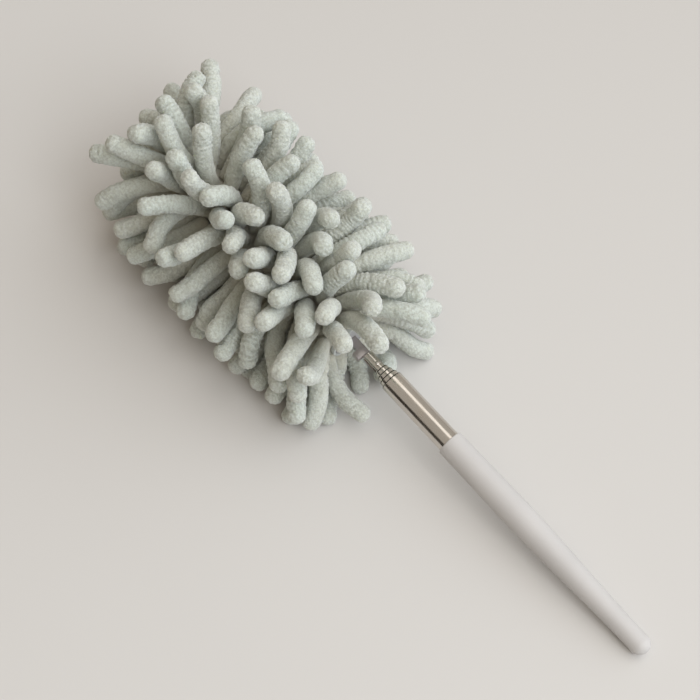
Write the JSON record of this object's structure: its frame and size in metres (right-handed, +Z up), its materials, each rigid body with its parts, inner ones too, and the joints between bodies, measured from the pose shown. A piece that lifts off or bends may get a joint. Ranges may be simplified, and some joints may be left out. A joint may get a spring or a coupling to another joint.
{
  "type": "retractable dust brush",
  "caption": "Hand duster with a plastic grip, a telescopic steel pole and a tilting head in a soft finger sleeve.",
  "frame": {"origin": "bottom centre of the bounding box, on the surface that the brush lies on", "axes": "+X from the grip to the head, +Z up; the pole rises 7.4 degrees from the grip to the head"},
  "size_m": [0.2957, 0.0906, 0.0803],
  "materials": {
    "grip": "satin",
    "plug": "matte",
    "core": "matte",
    "hinge_steel": "worn",
    "rivet_steel": "polished",
    "elastic": "matte",
    "tube_steel": "polished",
    "bush_metal": "satin",
    "chenille": "matte"
  },
  "bodies": {
    "handle": {"handle_grip": "grip", "pole_plug": "plug", "tube_1": "tube_steel"},
    "slider_2": {"bush_2": "bush_metal"},
    "section_2": {"tube_2": "tube_steel"},
    "slider_3": {"bush_3": "bush_metal"},
    "section_3": {"tube_3": "tube_steel"},
    "slider_4": {"bush_4": "bush_metal"},
    "section_4": {"tube_4": "tube_steel"},
    "slider_5": {"bush_5": "bush_metal"},
    "section_5": {"tube_5": "tube_steel", "hinge_rivet": "rivet_steel"},
    "head": {"hinge_blade": "hinge_steel", "core_base": "core", "core_tube": "core", "sleeve_band": "elastic", "sleeve_neck": "chenille", "sleeve_1": "chenille", "sleeve_2": "chenille", "sleeve_3": "chenille", "sleeve_4": "chenille", "sleeve_5": "chenille", "sleeve_end": "chenille"}
  },
  "joints": [
    {"name": "slide_2", "type": "slide", "parent": "handle", "child": "slider_2", "axis": [0.9917, 0, 0.1288], "range_m": [0, 0.0848]},
    {"name": "swivel_2", "type": "hinge", "parent": "slider_2", "child": "section_2", "pos_m": [-0.00496, 0, 0.02221], "axis": [0.9917, 0, 0.1288], "continuous": true},
    {"name": "slide_3", "type": "slide", "parent": "section_2", "child": "slider_3", "axis": [0.9917, 0, 0.1288], "range_m": [0, 0.0868]},
    {"name": "swivel_3", "type": "hinge", "parent": "slider_3", "child": "section_3", "pos_m": [-0.00298, 0, 0.02246], "axis": [0.9917, 0, 0.1288], "continuous": true},
    {"name": "slide_4", "type": "slide", "parent": "section_3", "child": "slider_4", "axis": [0.9917, 0, 0.1288], "range_m": [0, 0.0888]},
    {"name": "swivel_4", "type": "hinge", "parent": "slider_4", "child": "section_4", "pos_m": [-0.001, 0, 0.02272], "axis": [0.9917, 0, 0.1288], "continuous": true},
    {"name": "slide_5", "type": "slide", "parent": "section_4", "child": "slider_5", "axis": [0.9917, 0, 0.1288], "range_m": [0, 0.0908]},
    {"name": "swivel_5", "type": "hinge", "parent": "slider_5", "child": "section_5", "pos_m": [0.00694, 0, 0.02375], "axis": [0.9917, 0, 0.1288], "continuous": true},
    {"name": "head_tilt", "type": "hinge", "parent": "section_5", "child": "head", "pos_m": [0.00138, 0, 0.02303], "axis": [-0.1288, 0, 0.9917], "range_deg": [-90, 90], "deforming": ["sleeve_neck"]}
  ]
}
